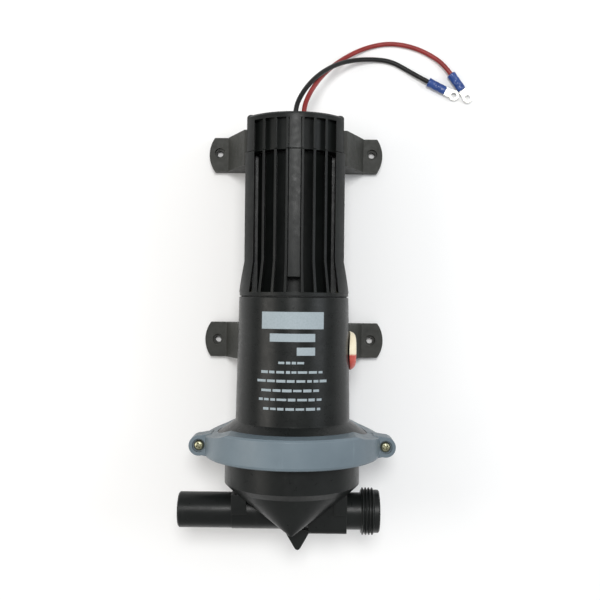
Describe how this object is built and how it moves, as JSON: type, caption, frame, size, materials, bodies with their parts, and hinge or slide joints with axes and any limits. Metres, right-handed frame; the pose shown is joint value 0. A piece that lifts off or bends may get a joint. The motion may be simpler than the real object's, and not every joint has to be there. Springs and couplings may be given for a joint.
{
  "type": "electric diaphragm bilge pump",
  "caption": "Inline electric diaphragm bilge pump: finned motor, gear housing, two-piece clamp ring, V-shaped head with hose spigot and threaded port, foot brackets and wire leads.",
  "frame": {"origin": "centre of the four mounting holes, on the plane that the feet rest on", "axes": "+X across the pump towards the threaded port, +Y along the pump axis towards the motor cap, +Z away from the mounting surface"},
  "size_m": [0.2205, 0.3847, 0.1285],
  "materials": {
    "black_plastic": "satin moulded, fine grain",
    "housing_plastic": "satin moulded, soft sheen",
    "bracket_plastic": "rough moulded",
    "head_plastic": "satin moulded",
    "ring_plastic": "satin blue-grey",
    "gear_plastic": "natural acetal",
    "plug_plastic": "glossy cream",
    "sleeve_blue": "glossy blue vinyl",
    "wire_black": "soft PVC",
    "wire_red": "soft PVC",
    "rubber_black": "nitrile",
    "zinc_steel": "yellowish zinc plate",
    "steel": "ground",
    "tinned_copper": "tin plate",
    "bronze": "sintered",
    "copper": "enamelled wire",
    "magnet": "ferrite",
    "carbon": "carbon",
    "lamination": "stacked sheet",
    "motor_paint": "zinc passivated can"
  },
  "bodies": {
    "casing": {"motor_cap": "black_plastic", "motor_housing": "black_plastic", "gear_housing": "housing_plastic", "cap_gasket": "rubber_black", "housing_gasket": "rubber_black", "cable_grommet": "rubber_black", "tie_screws": "zinc_steel", "motor_can": "motor_paint", "motor_end_bell": "gear_plastic", "magnets": "magnet", "motor_bearings": "bronze", "brushes": "carbon", "gear_frame": "steel", "frame_screws": "zinc_steel", "shaft_bushes": "bronze", "diaphragm": "rubber_black", "clamp_ring_front": "ring_plastic", "clamp_ring_rear": "ring_plastic", "clamp_screws": "zinc_steel", "clamp_nuts": "zinc_steel", "upper_bracket": "bracket_plastic", "lower_bracket": "bracket_plastic", "side_plug": "plug_plastic", "wire_black": "wire_black", "wire_red": "wire_red", "terminal_sleeve_black": "sleeve_blue", "terminal_sleeve_red": "sleeve_blue", "terminal_tongue_black": "tinned_copper", "terminal_tongue_red": "tinned_copper"},
    "rotor": {"motor_shaft": "steel", "armature": "lamination", "armature_windings": "copper", "commutator": "copper", "worm": "steel"},
    "layshaft": {"layshaft": "steel", "layshaft_pinion": "gear_plastic", "worm_wheel": "gear_plastic"},
    "crank": {"crank_axle": "steel", "eccentric": "steel", "crank_gear": "gear_plastic"},
    "rod": {"connecting_rod": "gear_plastic", "rod_bush": "bronze", "upper_plate": "gear_plastic", "lower_plate": "gear_plastic", "diaphragm_screw": "steel"},
    "head": {"pump_head": "head_plastic", "inlet_port": "head_plastic", "outlet_port": "head_plastic", "port_seals": "rubber_black", "inlet_valve": "rubber_black", "outlet_valve": "rubber_black"}
  },
  "joints": [
    {"name": "crank_turn", "type": "hinge", "parent": "casing", "child": "crank", "pos_m": [0, -0.098, 0.066], "axis": [1, 0, 0], "continuous": true, "deforming": ["diaphragm"]},
    {"name": "layshaft_turn", "type": "hinge", "parent": "casing", "child": "layshaft", "pos_m": [0, -0.06627, 0.049], "axis": [1, 0, 0], "continuous": true},
    {"name": "motor_turn", "type": "hinge", "parent": "casing", "child": "rotor", "pos_m": [0, 0, 0.066], "axis": [0, 1, 0], "continuous": true},
    {"name": "rod_pivot", "type": "hinge", "parent": "crank", "child": "rod", "pos_m": [0, -0.093, 0.066], "axis": [1, 0, 0], "continuous": true, "deforming": ["diaphragm"]},
    {"name": "head_swivel", "type": "hinge", "parent": "casing", "child": "head", "pos_m": [0, -0.16, 0.066], "axis": [0, 1, 0], "continuous": true}
  ],
  "couplings": [
    {"joint": "layshaft_turn", "follows": "crank_turn", "ratio": -2},
    {"joint": "motor_turn", "follows": "crank_turn", "ratio": -24},
    {"joint": "rod_pivot", "follows": "crank_turn", "ratio": -1}
  ]
}
